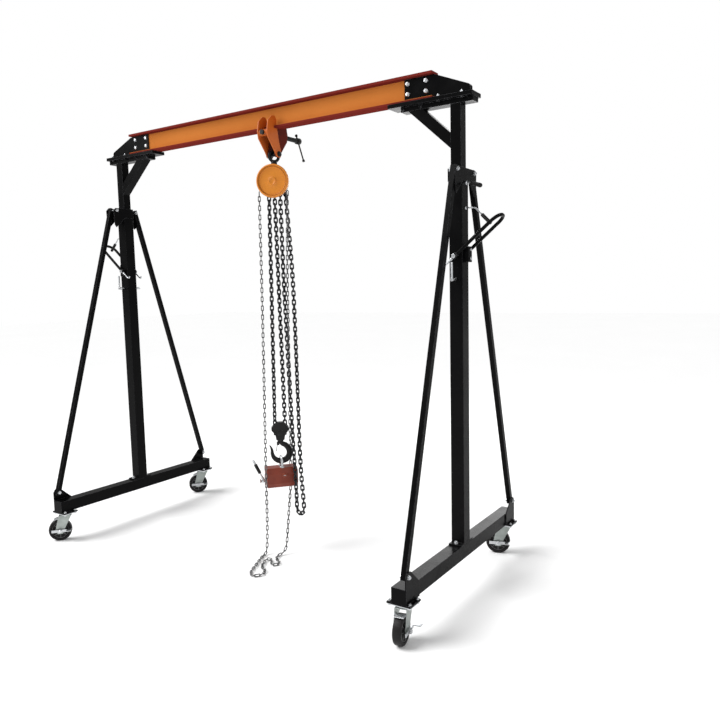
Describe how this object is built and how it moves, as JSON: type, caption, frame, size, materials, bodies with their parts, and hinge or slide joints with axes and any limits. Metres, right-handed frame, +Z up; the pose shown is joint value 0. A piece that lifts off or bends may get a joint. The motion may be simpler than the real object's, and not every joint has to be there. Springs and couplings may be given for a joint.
{
  "type": "portable gantry crane",
  "caption": "Portable A-frame gantry crane on swivel casters, with an I-beam on telescopic posts, a clamped hand-chain hoist, a hook and a lifting magnet.",
  "frame": {"origin": "on the floor, under the middle of the overall box", "axes": "+X along the beam, +Y across it, +Z up"},
  "size_m": [2.724, 1.2354, 2.4],
  "materials": {
    "frame_black": "gloss black paint",
    "beam_orange": "semi-gloss orange paint",
    "clamp_orange": "semi-gloss orange paint",
    "hoist_yellow": "semi-gloss paint",
    "magnet_red": "semi-gloss paint",
    "zinc": "zinc plated",
    "handle_black": "satin black",
    "forged_black": "blackened forging",
    "chain_steel": "dark oiled steel",
    "chain_zinc": "zinc plated",
    "wheel_black": "solid rubber tread"
  },
  "bodies": {
    "left_leg": {"left_base_beam": "frame_black", "left_outer_post": "frame_black", "left_head_bracket": "frame_black", "left_front_brace": "frame_black", "left_rear_brace": "frame_black", "left_jack_housing": "frame_black", "left_lock_pin": "zinc", "left_leg_hardware": "zinc"},
    "bridge": {"i_beam": "beam_orange", "left_side_plates": "frame_black", "right_side_plates": "frame_black", "left_saddle": "frame_black", "right_saddle": "frame_black", "left_inner_post": "frame_black", "right_inner_post": "frame_black", "left_knee_brace": "frame_black", "right_knee_brace": "frame_black", "bridge_hardware": "zinc", "clamp_front_jaw": "clamp_orange", "clamp_rear_jaw": "clamp_orange", "clamp_spindle": "handle_black", "hoist_top_ring": "forged_black", "hoist_frame": "forged_black", "handwheel_cover": "hoist_yellow", "gear_cover": "hoist_yellow", "load_falls": "chain_steel", "slack_chain": "chain_steel", "hand_chain": "chain_zinc", "hook_block": "forged_black", "lower_hook": "forged_black", "magnet_body": "magnet_red", "magnet_shackle": "zinc"},
    "right_leg": {"right_base_beam": "frame_black", "right_outer_post": "frame_black", "right_head_bracket": "frame_black", "right_front_brace": "frame_black", "right_rear_brace": "frame_black", "right_jack_housing": "frame_black", "right_lock_pin": "zinc", "right_leg_hardware": "zinc"},
    "left_front_swivel": {"left_front_fork": "zinc"},
    "left_front_roller": {"left_front_wheel": "wheel_black"},
    "left_front_brake": {"left_front_pedal": "zinc"},
    "left_rear_swivel": {"left_rear_fork": "zinc"},
    "left_rear_roller": {"left_rear_wheel": "wheel_black"},
    "left_rear_brake": {"left_rear_pedal": "zinc"},
    "right_front_swivel": {"right_front_fork": "zinc"},
    "right_front_roller": {"right_front_wheel": "wheel_black"},
    "right_front_brake": {"right_front_pedal": "zinc"},
    "right_rear_swivel": {"right_rear_fork": "zinc"},
    "right_rear_roller": {"right_rear_wheel": "wheel_black"},
    "right_rear_brake": {"right_rear_pedal": "zinc"},
    "left_jack_handle": {"left_jack_lever": "handle_black"},
    "right_jack_handle": {"right_jack_lever": "handle_black"},
    "latch": {"hook_latch": "forged_black"},
    "magnet_switch": {"magnet_lever": "handle_black"}
  },
  "joints": [
    {"name": "bridge_lift", "type": "slide", "parent": "left_leg", "child": "bridge", "axis": [0, 0, 1], "range_m": [0, 1.2]},
    {"name": "right_leg_lift", "type": "slide", "parent": "bridge", "child": "right_leg", "axis": [0, 0, -1], "range_m": [0, 1.2]},
    {"name": "left_front_turn", "type": "hinge", "parent": "left_leg", "child": "left_front_swivel", "pos_m": [-1.147, -0.52126, 0.16], "axis": [0, 0, 1], "continuous": true},
    {"name": "left_front_roll", "type": "hinge", "parent": "left_front_swivel", "child": "left_front_roller", "pos_m": [-1.16757, -0.54577, 0.0635], "axis": [0.766, -0.6428, 0], "continuous": true},
    {"name": "left_front_brake_press", "type": "hinge", "parent": "left_front_swivel", "child": "left_front_brake", "pos_m": [-1.16757, -0.54577, 0.0635], "axis": [-0.766, 0.6428, 0], "range_deg": [0, 18]},
    {"name": "left_rear_turn", "type": "hinge", "parent": "left_leg", "child": "left_rear_swivel", "pos_m": [-1.147, 0.57274, 0.16], "axis": [0, 0, 1], "continuous": true},
    {"name": "left_rear_roll", "type": "hinge", "parent": "left_rear_swivel", "child": "left_rear_roller", "pos_m": [-1.16841, 0.54896, 0.0635], "axis": [0.7431, -0.6691, 0], "continuous": true},
    {"name": "left_rear_brake_press", "type": "hinge", "parent": "left_rear_swivel", "child": "left_rear_brake", "pos_m": [-1.16841, 0.54896, 0.0635], "axis": [-0.7431, 0.6691, 0], "range_deg": [0, 18]},
    {"name": "right_front_turn", "type": "hinge", "parent": "right_leg", "child": "right_front_swivel", "pos_m": [1.147, -0.52126, 0.16], "axis": [0, 0, 1], "continuous": true},
    {"name": "right_front_roll", "type": "hinge", "parent": "right_front_swivel", "child": "right_front_roller", "pos_m": [1.15256, -0.55277, 0.0635], "axis": [0.9848, 0.1736, 0], "continuous": true},
    {"name": "right_front_brake_press", "type": "hinge", "parent": "right_front_swivel", "child": "right_front_brake", "pos_m": [1.15256, -0.55277, 0.0635], "axis": [-0.9848, -0.1736, 0], "range_deg": [0, 18]},
    {"name": "right_rear_turn", "type": "hinge", "parent": "right_leg", "child": "right_rear_swivel", "pos_m": [1.147, 0.57274, 0.16], "axis": [0, 0, 1], "continuous": true},
    {"name": "right_rear_roll", "type": "hinge", "parent": "right_rear_swivel", "child": "right_rear_roller", "pos_m": [1.11693, 0.5618, 0.0635], "axis": [0.342, -0.9397, 0], "continuous": true},
    {"name": "right_rear_brake_press", "type": "hinge", "parent": "right_rear_swivel", "child": "right_rear_brake", "pos_m": [1.11693, 0.5618, 0.0635], "axis": [-0.342, 0.9397, 0], "range_deg": [0, 18]},
    {"name": "left_jack_swing", "type": "hinge", "parent": "left_leg", "child": "left_jack_handle", "pos_m": [-1.147, 0.02574, 1.575], "axis": [0, -1, 0], "range_deg": [-25, 75]},
    {"name": "right_jack_swing", "type": "hinge", "parent": "right_leg", "child": "right_jack_handle", "pos_m": [1.147, 0.02574, 1.575], "axis": [0, 1, 0], "range_deg": [-25, 75]},
    {"name": "latch_open", "type": "hinge", "parent": "bridge", "child": "latch", "pos_m": [0.05298, 0.00781, 0.598], "axis": [0.6428, -0.766, 0], "range_deg": [0, 25], "stiffness_Nm_per_rad": 0.05, "springref_deg": -17.19},
    {"name": "magnet_switch_turn", "type": "hinge", "parent": "bridge", "child": "magnet_switch", "pos_m": [0.062, 0.02074, 0.395], "axis": [-0.6428, -0.766, 0], "range_deg": [0, 150]}
  ],
  "couplings": [
    {"joint": "right_leg_lift", "follows": "bridge_lift", "ratio": 1}
  ]
}
